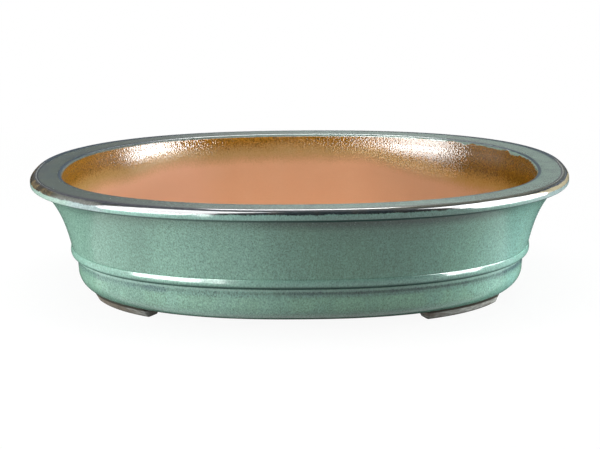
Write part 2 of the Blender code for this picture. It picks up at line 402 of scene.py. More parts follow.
class Finish(Wiring):
    """A material, with the nodes that describe its surface."""

    def __init__(self, name):
        self.material = bpy.data.materials.new(name)
        self.material.use_nodes = True
        super().__init__(self.material.node_tree)
        self.shader = self.tree.nodes["Principled BSDF"]
        self.place = self.node("ShaderNodeTexCoord", output="Object")

    def cloud(self, size, detail=2.0, stretch=(1, 1, 1), shift=0.0, roughness=0.5):
        """Soft noise from 0 to 1, with lumps of about a size."""
        place = self.place * stretch + shift if stretch != (1, 1, 1) or shift else self.place
        return self.node("ShaderNodeTexNoise", {}, {
            "Vector": place, "Scale": 1 / size, "Detail": detail, "Roughness": roughness})

    def specks(self, size, radius, shift=0.0):
        """1 in small round specks, one at most to each cell of a size."""
        distance = self.node("ShaderNodeTexVoronoi", {}, {
            "Vector": self.place + shift, "Scale": 1 / size, "Randomness": 1.0}, "Distance")
        return 1 - self.rise(distance, radius * 0.6, radius)

    def height(self):
        return self.part(self.place, "Z")

    def along(self):
        return self.part(self.place, "X")

    def across(self):
        return self.part(self.place, "Y")

    def ends(self, near, far):
        """0 along the middle of the pot's length, rising to 1 towards both ends."""
        x = self.along()
        return self.rise(x * x, near * near, far * far)

    def course(self):
        return self.node("ShaderNodeAttribute", {"attribute_name": "course"}, {}, "Fac")

    def surface(self, colour, roughness, bump=None, bump_distance=0.0002, **constants):
        """Feeds the shader: what varies by wires, what is constant on its own sockets."""
        self.feed(self.shader.inputs["Base Color"], colour)
        self.feed(self.shader.inputs["Roughness"], roughness)
        for name, value in constants.items():
            self.shader.inputs[name.replace("_", " ")].default_value = value
        if bump is not None:
            self.feed(self.shader.inputs["Normal"], self.bumped(bump, bump_distance))
        return self.material

    def bumped(self, bump, distance):
        return self.node("ShaderNodeBump", {}, {
            "Height": bump, "Strength": 1.0, "Distance": distance}, "Normal")

    def lay_over(self, second, share):
        """Shows a second shader over the first by a share."""
        both = self.node("ShaderNodeMixShader", {}, {
            0: share, 1: Wire(self, self.shader.outputs[0]), 2: second})
        self.feed(self.tree.nodes["Material Output"].inputs["Surface"], both)

    def lay_over_matt(self, colour, share):
        """Lays a colour over the finish that doesn't shine, as in the bottom of a crease."""
        matt = self.node("ShaderNodeBsdfPrincipled", {}, {
            "Base Color": colour, "Roughness": 0.6, "Specular IOR Level": 0.05})
        self.lay_over(matt, share)


# Colours, linear
GREEN = (0.207, 0.366, 0.293)
SEA_GREEN = (0.199, 0.379, 0.328)
LEAF_GREEN = (0.213, 0.382, 0.285)
SHADED_STRETCH_TINT = (0.93, 1.00, 0.92)  # what the glaze's colour is multiplied by in the shaded stretch, against the white that the glaze mirrors there
PALE_SPECK_AND_HIGHLIGHT = (0.400, 0.560, 0.510)
POOL_AND_SHADE_GREEN = (0.018, 0.060, 0.050)
FLOAT_AND_SHADOW_BLUE = (0.130, 0.222, 0.226)
INK_BLUE = (0.050, 0.086, 0.100)
MINT = (0.285, 0.495, 0.425)
FACE_PALE = (0.295, 0.418, 0.360)
FACE_GREY = (0.330, 0.410, 0.420)
TOP_GREY = (0.108, 0.138, 0.120)
TOP_TEAL = (0.190, 0.282, 0.238)
TOP_BLUE = (0.080, 0.112, 0.128)
ARRIS_HIGHLIGHT_GREY = (0.300, 0.330, 0.310)
EDGE_VIOLET = (0.070, 0.070, 0.086)
EDGE_BROWN = (0.090, 0.086, 0.066)
BREAK_DARK = (0.022, 0.030, 0.034)
BREAK_BROWN = (0.040, 0.034, 0.023)
BREAK_SLATE = (0.070, 0.082, 0.096)
BREAK_OCHRE = (0.170, 0.125, 0.062)
PALE_OCHRE = (0.420, 0.370, 0.235)
INNER_EDGE = (0.020, 0.032, 0.045)
AMBER = (0.290, 0.132, 0.008)
DEEP_AMBER = (0.150, 0.070, 0.005)
OLIVE = (0.060, 0.046, 0.005)
TAN = (0.400, 0.258, 0.092)
TERRACOTTA = (0.600, 0.290, 0.160)
PIT_BROWN = (0.300, 0.120, 0.060)
INNER_CLAY = (0.675, 0.375, 0.215)
PALE_CLAY = (0.690, 0.415, 0.250)
WARM_CLAY = (0.740, 0.445, 0.300)
BASE_BROWN = (0.045, 0.040, 0.022)
FOOT_DARK = (0.040, 0.040, 0.030)
FOOT_GREY = (0.160, 0.165, 0.145)
FOOT_PALE = (0.400, 0.415, 0.385)
FOOT_BROWN = (0.110, 0.088, 0.062)
FOOT_OCHRE = (0.090, 0.048, 0.012)


def grainy(finish, colour, strength=1.0):
    """The glaze's grain: dots under a millimetre, drawn out a little downwards, and scattered specks."""
    grain = finish.cloud(0.0012, detail=3, stretch=(1, 1, 0.7), roughness=0.65)
    colour = colour * (1 + (grain - 0.5) * 2.1 * strength)
    dark = finish.specks(0.0036, 0.22) * 0.30 * strength
    light = finish.specks(0.0031, 0.22, shift=0.37) * 0.20 * strength
    colour = finish.blend(colour, POOL_AND_SHADE_GREEN, dark)
    return finish.blend(colour, PALE_SPECK_AND_HIGHLIGHT, light)


def even_green(finish):
    """The green glaze where it lies evenly, bluer to the right, with faint drifts of tone, and painted
    light and shade in stretches along its length.
    """
    x = finish.along()
    colour = finish.blend(GREEN, SEA_GREEN, finish.rise(x, -0.16, 0.20))
    drift = finish.rise(finish.cloud(0.030, stretch=(1, 1, 0.5)), 0.40, 0.70)
    colour = finish.blend(colour, LEAF_GREEN, drift * 0.25)
    streak = finish.cloud(0.007, stretch=(1, 1, 0.3), shift=1.7)
    left_turn = finish.strip(x, -0.18, -0.14, 0.03)
    left_side = finish.strip(x, -0.10, -0.05, 0.04)
    right_side = finish.strip(x, 0.03, 0.08, 0.07)
    right_end = finish.rise(x, 0.12, 0.19)
    right_tip = finish.rise(x, 0.202, 0.224)
    # painted light and shade: stretches along the pot made lighter or darker for how the lamps fall on
    # the wall
    tone = right_end * 0.17 + left_side * 0.16 - left_turn * 0.13 - right_side * 0.19 - right_tip * 0.30
    return colour * (1 + (streak - 0.5) * 0.12 + tone)


def shaded_stretch(finish):
    """1 to the right of the middle, where the painted shade is deepest."""
    x = finish.along()
    return finish.rise(x, -0.07, 0.04) * (1 - finish.rise(x, 0.13, 0.20))


def drifts_below_band(finish, colour, below_band, fine):
    """Below the band: a blue float close to it that is partly the band's painted shadow, with inky spots,
    and leafy green further down.
    """
    x = finish.along()
    slow = finish.cloud(0.016, detail=2, shift=3.1) - 0.5
    patch = finish.rise(finish.cloud(0.022, detail=2, stretch=(1, 1, 0.6), shift=2.3), 0.36, 0.60)
    wandering = below_band + fine * 8 * MM
    leafy = finish.strip(wandering, 10 * MM, 20 * MM, 4 * MM)
    colour = finish.blend(colour, LEAF_GREEN, leafy * patch * 0.65)
    # the float band is partly the band's painted shadow
    left = finish.strip(x, -0.160, -0.125, 0.03) * 0.50
    middle = finish.rise(x, -0.08, 0.02) * 0.42
    right = finish.rise(x, 0.10, 0.16) * 0.40
    float_and_band_shadow = finish.strip(wandering, 3.8 * MM, 6.2 * MM, 3.4 * MM) * (0.18 + left + middle + right)
    colour = finish.blend(colour, FLOAT_AND_SHADOW_BLUE, float_and_band_shadow * (0.35 + patch * 0.6))
    ink_band = finish.strip(below_band + slow * 3 * MM, 4.0 * MM, 7.5 * MM, 2.5 * MM)
    ink = finish.rise(fine, 0.03, 0.12) * ink_band
    return finish.blend(colour, INK_BLUE, ink * (0.30 + patch * 0.5))


def wall_tone(finish, colour, weight, below_band, under_rim):
    """The wall's lighter lower part, and painted shade under the rim, deepest in the shaded stretch right
    of the middle.
    """
    # tint in the shaded stretch, against the white that the glaze mirrors there
    colour = finish.blend(colour, colour * SHADED_STRETCH_TINT, weight)
    low_part = finish.rise(below_band, 6 * MM, 12 * MM) * finish.rise(finish.along(), -0.14, -0.09)
    colour = colour * (1 + low_part * 0.13)
    # painted shade cast by the rim, deepest and greenest in the shaded stretch
    shade = 1 - finish.rise(under_rim, 2 * MM, 15 * MM)
    colour = colour * (1 - shade * (0.31 + weight * 0.45))
    colour = finish.blend(colour, POOL_AND_SHADE_GREEN, shade * weight * 0.24)
    dusk = 1 - finish.rise(under_rim, 8 * MM, 34 * MM)
    return colour * (1 - dusk * weight * 0.12)


def pools_and_shade(finish, weight, below_band, under_rim):
    """How far glaze has gathered dark, with painted shade, under the rim and along both edges of the
    band.
    """
    above_band = -(BAND_TOP - BAND_BOTTOM) - below_band
    rim_pool_and_shade = 1 - finish.rise(under_rim, 2.6 * MM, 4.0 * MM)
    low_pool_and_shade = finish.strip(below_band, -0.2 * MM, 0.8 * MM, 0.8 * MM)
    high_pool_and_shade = finish.strip(above_band, -0.3 * MM, 0.2 * MM, 0.6 * MM)
    by_band = finish.greater(low_pool_and_shade * 0.9, high_pool_and_shade * 0.4)
    return finish.greater(rim_pool_and_shade * (0.65 + weight * 0.30), by_band)


def outside_glaze():
    """Glossy green glaze on the wall's outside, and a matt dark line wherever glaze gathers and painted
    shade falls.
    """
    finish = Finish("outside_glaze")
    height = finish.height()
    below_band = BAND_BOTTOM - height
    under_rim = RIM_BOTTOM - height
    fine = finish.cloud(0.0016, detail=3, roughness=0.7) - 0.5
    # how deep the painted shade lies, right of the middle
    weight = shaded_stretch(finish)
    colour = drifts_below_band(finish, even_green(finish), below_band, fine)
    colour = wall_tone(finish, colour, weight, below_band, under_rim)
    colour = grainy(finish, colour)
    # a painted highlight along the glaze's fillet under the band
    fillet_highlight = finish.strip(below_band, 1.9 * MM, 2.7 * MM, 0.9 * MM)
    colour = finish.blend(colour, PALE_SPECK_AND_HIGHLIGHT, fillet_highlight * 0.35)
    # painted shadow of the band, a few millimetres below it
    band_shadow_line = finish.strip(below_band + fine * 1.5 * MM, 4.4 * MM, 5.4 * MM, 1.2 * MM)
    colour = colour * (1 - band_shadow_line * (0.16 + weight * 0.34))
    bump = finish.cloud(0.010, detail=2) * 0.6 + finish.cloud(0.0012) * 0.08
    finish.surface(colour, 0.18, bump, bump_distance=0.0004, Specular_IOR_Level=0.5)
    # a dark line along the base: pooling glaze and painted shadow
    base_line = 1 - finish.rise(height + fine * 1.5 * MM, BASE + 2.2 * MM, BASE + 3.6 * MM)
    crease = finish.blend(POOL_AND_SHADE_GREEN, BASE_BROWN, base_line)
    # dark matt lines of pooling glaze and painted shade under the rim and along the band
    pooled_and_shaded = pools_and_shade(finish, weight, below_band, under_rim)
    finish.lay_over_matt(crease, finish.greater(pooled_and_shaded, base_line * 0.85))
    return finish.material


def band_glaze():
    """The same glaze on the band, minty on its face, and dark along its lower edge with pooling glaze and
    painted shade.
    """
    finish = Finish("band_glaze")
    colour = finish.blend(even_green(finish), MINT, 0.30)
    colour = grainy(finish, colour, strength=0.8)
    bump = finish.cloud(0.012, detail=1) * 0.5 + finish.cloud(0.0012) * 0.05
    finish.surface(colour, 0.16, bump, bump_distance=0.0003, Specular_IOR_Level=0.5)
    # painted shade and pooling glaze over the band's underside
    lower = 1 - finish.rise(finish.height(), BAND_BOTTOM + 0.3 * MM, BAND_BOTTOM + 3.6 * MM)
    finish.lay_over_matt(POOL_AND_SHADE_GREEN, lower * 0.92)
    return finish.material


def inside_clay(finish, x):
    """The pot's clay inside, warm at the left, and with painted shade dimming it towards the right."""
    clay = finish.blend(INNER_CLAY, PALE_CLAY, finish.cloud(0.030, detail=4))
    clay = clay * (1 + (finish.cloud(0.0009, detail=2) - 0.5) * 0.12)
    clay = finish.blend(clay, WARM_CLAY, finish.strip(x, -0.17, -0.12, 0.05) * 0.75)
    # painted shade towards the right
    return clay * (1 - finish.rise(x, 0.04, 0.15) * 0.23)


def inside_layers(finish):
    """The inside's colour, with how glazed and how heavily glazed it is: amber sprayed over bare clay."""
    x = finish.along()
    below_rim = RIM_TOP - finish.height()
    fine = finish.cloud(0.0016, detail=3, roughness=0.7) - 0.5
    spray = fine * 18 * MM
    sweep = (finish.cloud(0.070) - 0.5) * 12 * MM
    thick = finish.rise(x, 0.06, 0.17)
    left_end = 1 - finish.rise(x, -0.19, -0.11)
    reach = below_rim + spray + sweep - thick * 20 * MM - left_end * 10 * MM
    weight = 1 - finish.rise(reach, 4 * MM, 20 * MM)
    glazed = 1 - finish.rise(reach - spray * 0.3, 17 * MM, 32 * MM)
    amber = finish.blend(AMBER, DEEP_AMBER, finish.greater(thick, left_end * 0.5))
    amber = amber * (1 + fine * 3.4)
    amber = finish.blend(amber, OLIVE, finish.specks(0.0024, 0.36, shift=1.3) * 0.65)
    haze = finish.blend(TAN, AMBER, thick * 0.45)
    colour = finish.blend(inside_clay(finish, x), haze, glazed)
    return finish.blend(colour, amber, weight), glazed, weight


def orange_peel(finish):
    """The inside glaze's pebbled skin."""
    return finish.cloud(0.0015, detail=1, stretch=(1, 1, 0.85))


def inside_glaze():
    """Matt clay, and over it glossy glaze with an orange-peel skin."""
    finish = Finish("inside_glaze")
    colour, glazed, weight = inside_layers(finish)
    grain = finish.cloud(0.0006, detail=2)
    finish.surface(colour, 0.85, grain, bump_distance=0.00006, Specular_IOR_Level=0.0)
    glaze = finish.node("ShaderNodeBsdfPrincipled", {}, {
        "Base Color": colour,
        "Roughness": 0.09 + (1 - weight) * 0.20,
        "Normal": finish.bumped(orange_peel(finish), PEEL),
        "Specular IOR Level": 0.7,
    })
    below_rim = RIM_TOP - finish.height()
    thinning = 1 - finish.rise(below_rim, 9 * MM, 24 * MM) * 0.72
    finish.lay_over(glaze, finish.greater(weight, glazed * glazed * 0.35) * thinning)
    return finish.material


def rim_top(finish, x, slow, end, right):
    """The rim's flat top, from grey at the left to teal at the right, with drifts of blue."""
    blues = finish.rise(finish.cloud(0.018, detail=3), 0.48, 0.66)
    top = finish.blend(TOP_GREY, TOP_TEAL, finish.rise(x, -0.18, 0.12))
    top = finish.blend(top, TOP_BLUE, blues * (0.20 + end * 0.40 - right * 0.35))
    return finish.blend(top, MINT, right * 0.18) * (1 + slow * 0.5)


def rim_face(finish, x, right):
    """The rim's outer face, with painted shade in the shaded stretch right of the middle, and greyer
    towards the two ends.
    """
    face = finish.blend(MINT, SEA_GREEN, finish.cloud(0.020) * 0.5)
    # painted shade right of the middle
    face = face * (1 - shaded_stretch(finish) * 0.40)
    face = finish.blend(face, FACE_PALE, 1 - finish.rise(x, -0.20, -0.14))
    violet = finish.strip(x, -0.192, -0.172, 0.012)
    return finish.blend(face, FACE_GREY, finish.greater(right, violet) * 0.8)


def edge_shade(finish, course, x, ragged, end):
    """How far the flat top's glaze darkens towards its edge: a wide faint part and a narrow deep one."""
    left_part = 1 - finish.rise(x, -0.13, -0.07)
    dusk = finish.strip(x, 0.07, 0.11, 0.04)
    thin = finish.greater(end, finish.rise(x, 0.11, 0.15))
    width = 4.2 * MM + (left_part * (1 - end) + dusk) * 4.2 * MM - thin * 2.8 * MM
    wide = finish.rise(course + ragged * (1 - thin) * 2, -width, -3.0 * MM + thin * 1.6 * MM)
    narrow = finish.rise(course + ragged * 0.8, -1.9 * MM, -0.6 * MM)
    return finish.greater(wide * (0.22 + dusk * 0.23), narrow * 0.9)


def rim_break(finish, x, fine, end, right):
    """The dark that shows where the glaze breaks over the rim's edge, ochre and slate at the ends."""
    ochre = finish.rise(finish.cloud(0.018, detail=2, stretch=(1, 1, 0.5), shift=4.1), 0.46, 0.66)
    dark = finish.blend(BREAK_DARK, finish.blend(BREAK_BROWN, BREAK_SLATE, right), end)
    dark = finish.blend(dark, BREAK_OCHRE, ochre * (0.10 + end * 0.60) * (1 - right))
    # paler towards the left end
    paler_left_stretch = finish.strip(x, -0.205, -0.178, 0.015)
    return finish.blend(dark, FOOT_GREY, paler_left_stretch * 0.7) * (1 + fine * 2.4)


def rim_glaze():
    """The collar's glaze by its course: flat top to 0, then over the roll and down the face."""
    finish = Finish("rim_glaze")
    course = finish.course()
    x = finish.along()
    fine = finish.cloud(0.0014, detail=3, roughness=0.7) - 0.5
    slow = finish.cloud(0.009, detail=2, shift=5.2) - 0.5
    ragged = fine * 3.4 * MM + slow * 2.2 * MM
    end = finish.ends(0.19, 0.235)
    right = finish.rise(x, 0.17, 0.225)
    back = finish.rise(finish.across(), 0.0, 0.04)
    # The flat top and the face, and the dark break at the edge between them
    top, face = rim_top(finish, x, slow, end, right), rim_face(finish, x, right)
    colour = finish.blend(top, face, finish.rise(course, 3 * MM, 8 * MM))
    colour = grainy(finish, colour, strength=0.7)
    broken = 1 - finish.rise(course + ragged, 6.3 * MM + end * 0.5 * MM, 7.5 * MM + end * 0.5 * MM)
    edge = finish.blend(EDGE_VIOLET, EDGE_BROWN, finish.rise(x, 0.02, 0.08)) * (1 + fine * 2.4)
    colour = finish.blend(colour, edge, edge_shade(finish, course, x, ragged, end) * broken)
    early = end * 1.6 * MM
    darkest = finish.rise(course + ragged * 0.7, 2.2 * MM - early, 4.0 * MM - early) * broken
    colour = finish.blend(colour, rim_break(finish, x, fine, end, right), darkest)
    ochre_strip = finish.strip(course + slow * 1.5 * MM, 4.6 * MM, 7.2 * MM, 0.8 * MM) * right
    colour = finish.blend(colour, PALE_OCHRE, ochre_strip * 0.85)
    # Lines along the flat top's edge: painted shade beside the ridge, a dark far edge, and in front a
    # painted highlight along the edge
    ridge_shade_line = finish.strip(course + fine * 1.0 * MM, -1.7 * MM, -0.7 * MM, 0.6 * MM)
    colour = finish.blend(colour, INNER_EDGE, ridge_shade_line * (0.15 + end * 0.70))
    far_edge = finish.rise(course + fine * 2.0 * MM, -5.0 * MM, -2.4 * MM) * broken * back
    colour = finish.blend(colour, INNER_EDGE, far_edge * (0.42 + finish.ends(0.06, 0.14) * 0.50))
    # a painted highlight along the front of the flat top's edge, strongest at the ends
    arris_highlight = finish.strip(course, -0.30 * MM, 0.20 * MM, 0.30 * MM) * (1 - back)
    colour = finish.blend(colour, ARRIS_HIGHLIGHT_GREY, arris_highlight * (0.20 + end * 0.60))
    # The inner edge, and past it the inside's glaze
    inner_course = -(RIM_WIDTH - RIM_EDGE_RADIUS - RIM_INNER_RADIUS) - course
    outer_part = finish.ends(0.10, 0.16)
    dark_edge = finish.strip(inner_course + ragged * 0.25, -0.8 * MM, 1.6 * MM, 0.7 * MM)
    colour = finish.blend(colour, INNER_EDGE, dark_edge * (0.15 + outer_part * 0.80))
    drip = finish.cloud(0.010, detail=1, stretch=(1, 1, 0.15), shift=7.7) - 0.5
    drip = drip * finish.rise(x, 0.08, 0.13) * 6 * MM
    past = finish.rise(inner_course + fine * 1.4 * MM + drip, 3.2 * MM, 4.2 * MM)
    inside, _, _ = inside_layers(finish)
    colour = finish.blend(colour, inside, past)
    # the rim's underside darkened: painted shade and pooling glaze
    underneath = finish.rise(course, 11.2 * MM, 12.4 * MM)
    colour = finish.blend(colour, POOL_AND_SHADE_GREEN, underneath)
    bump = finish.cloud(0.012, detail=1) * 0.20 + fine * 0.04 + orange_peel(finish) * past
    finish.surface(colour, 0.10, bump, bump_distance=PEEL, Specular_IOR_Level=0.5)
    finish.lay_over_matt(colour, finish.greater(dark_edge * outer_part, far_edge) * 0.85)
    return finish.material


def bare_clay():
    """Wiped terracotta with small pits."""
    finish = Finish("bare_clay")
    tone = finish.blend(TERRACOTTA, PALE_CLAY, finish.cloud(0.030, detail=4))
    wiped = finish.cloud(0.004, detail=3, stretch=(0.08, 1, 1))
    colour = tone * (1 + (wiped - 0.5) * 0.10 + (finish.cloud(0.0009) - 0.5) * 0.14)
    pits = finish.specks(0.0060, 0.10)
    colour = finish.blend(colour, PIT_BROWN, pits * 0.5)
    bump = finish.cloud(0.0008, detail=3) * 0.4 + wiped * 0.8 - pits * 0.6
    return finish.surface(colour, 0.78, bump, bump_distance=0.0003)


def fire_marks(finish, colour, patches):
    """Brown and pale stretches, where the fire reached the feet more or less."""
    x = finish.along()
    left = 1 - finish.rise(x, -0.162, -0.148)
    colour = finish.blend(colour, FOOT_BROWN, left * 0.7)
    pale = finish.greater(finish.strip(x, -0.151, -0.139, 0.006) * 0.5, finish.rise(x, 0.117, 0.122))
    colour = finish.blend(colour, FOOT_PALE, pale * (0.35 + patches * 0.6))
    scorched = finish.strip(x, 0.095, 0.104, 0.004)
    return finish.blend(colour, FOOT_OCHRE, scorched)


def fired_clay(name, is_foot):
    """Bare clay darkened by the fire. The feet have fire marks, painted shadow and the glaze's edge along
    their tops, and darken towards their soles.
    """
    finish = Finish(name)
    patches = finish.rise(finish.cloud(0.012, detail=3, stretch=(1, 1, 2.5)), 0.36, 0.60)
    colour = finish.blend(FOOT_BROWN, FOOT_GREY, patches)
    if is_foot:
        colour = fire_marks(finish, colour, patches)
    streaks = finish.cloud(0.0016, detail=3, stretch=(0.30, 0.30, 1.3), roughness=0.65)
    colour = colour * (1 + (streaks - 0.5) * 2.6)
    bump = finish.cloud(0.0011, detail=4) * 0.6 + finish.cloud(0.007) * 0.8
    finish.surface(colour, 0.62, bump, bump_distance=0.0004)
    if is_foot:
        height = finish.height()
        # painted shadow and the glaze's edge where the foot meets the heel, and darker towards the sole
        joint_shadow_and_glaze_edge = finish.rise(height, 7.4 * MM, 8.8 * MM)
        lower = 1 - finish.rise(height, 1.5 * MM, 2.8 * MM)
        finish.lay_over_matt(FOOT_DARK, finish.greater(joint_shadow_and_glaze_edge, lower * 0.7))
    return finish.material


def rim_section():
    """The collar: up its inner face, over the flat top, round its edge, and back underneath."""
    top = RIM_TOP - RIM_RIDGE
    ridge_step = 2 * RIM_RIDGE
    inner_top = inner_surface(top - RIM_INNER_RADIUS)
    inner = line(inner_surface(RIM_BOTTOM), inner_top, RIM_INSIDE_STEPS)
    lean, depth, height = inner_top
    centre = depth - RIM_INNER_RADIUS
    rounding = [
        (mix(lean, 0, share), round_depth, round_height)
        for share, (_, round_depth, round_height) in zip(
            shares(RIM_INNER_STEPS), arc(centre, height, RIM_INNER_RADIUS, 0, 1, RIM_INNER_STEPS))
    ]
    flat = []
    for share in shares(RIM_TOP_STEPS)[1:-1]:
        dish = RIM_DISH * math.sin(math.pi * share)
        flat.append((0, mix(centre, RIM_EDGE_RADIUS + 3 * ridge_step, share), top - dish))
    ridge = [(0, RIM_EDGE_RADIUS + 2 * ridge_step, top), (0, RIM_EDGE_RADIUS + ridge_step, RIM_TOP)]
    edge = arc(RIM_EDGE_RADIUS, RIM_TOP - RIM_EDGE_RADIUS, RIM_EDGE_RADIUS, 1, 2, RIM_EDGE_STEPS)
    lower_centre = RIM_BOTTOM + RIM_LOWER_RADIUS
    side_top = RIM_TOP - RIM_EDGE_RADIUS - EDGE_TO_SIDE
    side = line((0, 0, side_top), (0, 0, lower_centre), RIM_SIDE_STEPS)
    lower = arc(RIM_LOWER_RADIUS, lower_centre, RIM_LOWER_RADIUS, 2, 3, RIM_LOWER_STEPS)
    under_start = (0, RIM_LOWER_RADIUS + EDGE_TO_UNDER, RIM_BOTTOM)
    under = line(under_start, (WALL_TOP_LEAN, RIM_SEAT_DEPTH, RIM_BOTTOM), RIM_UNDER_STEPS)
    before = inner + rounding + flat + ridge
    start = -course_of(before + edge[:1])[-1]
    return [(0, before + edge + side + lower + under)], start


def band_section():
    """The half-round clay string, with the glaze run into the corners above and below."""
    points = []
    chord_top = np.array((WALL_BAND_LEAN, 0, BAND_TOP))
    chord_low = np.array((WALL_LOW_LEAN, 0, BAND_BOTTOM))
    for share in shares(BAND_STEPS):
        angle = math.pi * share
        down = (1 - math.cos(angle)) / 2
        lean, _, height = mix(chord_top, chord_low, down)
        bulge = BAND_BULGE + (WALL_LOW_LEAN - WALL_BAND_LEAN) * down
        fullness = BAND_FULLNESS if down < 0.5 else BAND_LOWER_FULLNESS
        points.append((lean, -bulge * math.sin(angle) ** fullness, height))
    points.append((WALL_LOW_LEAN, BAND_ROOT, BAND_BOTTOM))
    points.append((WALL_BAND_LEAN, BAND_ROOT, BAND_TOP))
    return [(0, points)]


def heel_section():
    """Lean, depth and height down the wall's turn to its flat underside."""
    points = []
    for share in shares(HEEL_STEPS):
        depth = HEEL_WIDTH * (1 - math.cos(QUARTER * share))
        points.append((HEEL_LEAN, depth, HEEL_TOP - HEEL_HEIGHT * math.sin(QUARTER * share)))
    return points


def wall_section():
    """The wall: down the outside, under the heel, and up the inside."""
    outside = []
    for share in shares(FILLET_STEPS)[:-1]:
        lean = WALL_TOP_LEAN - RIM_FILLET * (1 - math.sin(QUARTER * share))
        height = RIM_BOTTOM + WALL_LAP - RIM_FILLET * (1 - math.cos(QUARTER * share))
        outside.append((lean, 0, height))
    for share in shares(FLARE_STEPS):
        lean, height = flare(1 - share)
        if height < RIM_BOTTOM - RIM_FILLET:
            outside.append((lean, 0, height))
    for share in shares(BEHIND_BAND_STEPS)[1:]:
        outside.append((mix(WALL_BAND_LEAN, WALL_LOW_LEAN, share), 0, mix(BAND_TOP, BAND_BOTTOM, share)))
    for share in shares(LOW_WALL_STEPS)[1:-1]:
        outside.append((mix(WALL_LOW_LEAN, HEEL_LEAN, share), 0, mix(BAND_BOTTOM, HEEL_TOP, share)))
    outside += heel_section()
    under_start = (HEEL_LEAN, HEEL_WIDTH + HEEL_TO_UNDER, BASE)
    under = line(under_start, (HEEL_LEAN, LEDGE_DEPTH, BASE), UNDER_STEPS)
    under.append((HEEL_LEAN, LEDGE_DEPTH, BASE))
    under.append((HEEL_LEAN, LEDGE_DEPTH, BASE + LEDGE_THICKNESS))
    under.append((HEEL_LEAN, CORNER_DEPTH, BASE + LEDGE_THICKNESS))
    inside = []
    start_lean, start_depth, start_height = inner_surface(FLOOR_TOP + CORNER_RADIUS)
    for share in shares(CORNER_STEPS):
        inside.append((
            mix(HEEL_LEAN, start_lean, share),
            start_depth + CORNER_RADIUS * (1 - share) ** 2,
            mix(FLOOR_TOP, start_height, share**2),
        ))
    for share in shares(INSIDE_STEPS)[1:]:
        inside.append(inner_surface(mix(start_height, RIM_BOTTOM, share)))
    return [(0, outside), (1, under), (2, inside)]


def make_wall(base_clay):
    wall = hoop("glazed_wall", wall_section())
    for material in (outside_glaze(), base_clay, inside_glaze()):
        wall.data.materials.append(material)
    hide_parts("pot_wall")
    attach(wall, "root")


def make_rim():
    stretches, start = rim_section()
    rim = hoop("rim_collar", stretches, start_course=start, sagging=True)
    rim.data.materials.append(rim_glaze())
    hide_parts("rim")
    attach(rim, "root")


def make_band():
    band = hoop("waist_bead", band_section())
    band.data.materials.append(band_glaze())
    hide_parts("waist_band")
    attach(band, "root")


def drain_spool(side):
    """A turned cutter whose flared ends round the drain's two edges."""
    rounding = []
    for share in shares(DRAIN_STEPS):
        radius = DRAIN_RADIUS + DRAIN_ROUNDING * (1 - math.sin(QUARTER * share))
        rounding.append((radius, DRAIN_ROUNDING * (1 - math.cos(QUARTER * share))))
    mouth = DRAIN_RADIUS + DRAIN_ROUNDING
    profile = [(mouth, FLOOR_TOP + CUT_PAST)]
    profile += [(radius, FLOOR_TOP - into) for radius, into in rounding]
    profile += [(radius, BASE + into) for radius, into in reversed(rounding)]
    profile.append((mouth, BASE - CUT_PAST))
    bm = bmesh.new()
    rows = []
    for radius, height in profile:
        row = []
        for share in shares(DRAIN_POINTS)[:-1]:
            x = side * DRAIN_PLACE + radius * math.cos(2 * math.pi * share)
            row.append(bm.verts.new((x, radius * math.sin(2 * math.pi * share), height)))
        rows.append(row)
    skin(bm, rows)
    return finish_mesh(bm, "drain_spool")


def cut_drain(floor, side):
    spool = drain_spool(side)
    cut = floor.modifiers.new("drain", "BOOLEAN")
    cut.object = spool
    cut.solver = "EXACT"
    bpy.context.view_layer.update()
    cut_floor = floor.evaluated_get(bpy.context.evaluated_depsgraph_get())
    cut_mesh = bpy.data.meshes.new_from_object(cut_floor)
    floor.modifiers.clear()
    floor.data = cut_mesh
    bpy.data.objects.remove(spool)


def make_floor(base_clay):
    """The base slab inside the wall, with its lap over the wall's ledge and its two drain holes."""
    angles = even_angles(ROUND_POINTS)
    lap_bottom = BASE + LEDGE_THICKNESS + FIT
    bm = bmesh.new()
    rows = []
    for depth, height in ((CORNER_DEPTH, FLOOR_TOP), (CORNER_DEPTH, lap_bottom),
                          (LEDGE_DEPTH, lap_bottom), (LEDGE_DEPTH, BASE)):
        x, y = oval(angles, HEEL_LEAN, depth)
        rows.append([bm.verts.new((a, b, height)) for a, b in zip(x, y)])
    skin(bm, rows)
    floor = finish_mesh(bm, "base_slab")
    for side in (-1, 1):
        cut_drain(floor, side)
    floor.data.shade_smooth()
    floor.data.set_sharp_from_angle(angle=FLOOR_SHARP_ANGLE)
    floor.data.materials.clear()
    floor.data.materials.append(bare_clay())
    floor.data.materials.append(base_clay)
    for face in floor.data.polygons:
        face.material_index = 1 if face.center.z < BASE + UNDERSIDE else 0
    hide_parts("floor_slab")
    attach(floor, "root")


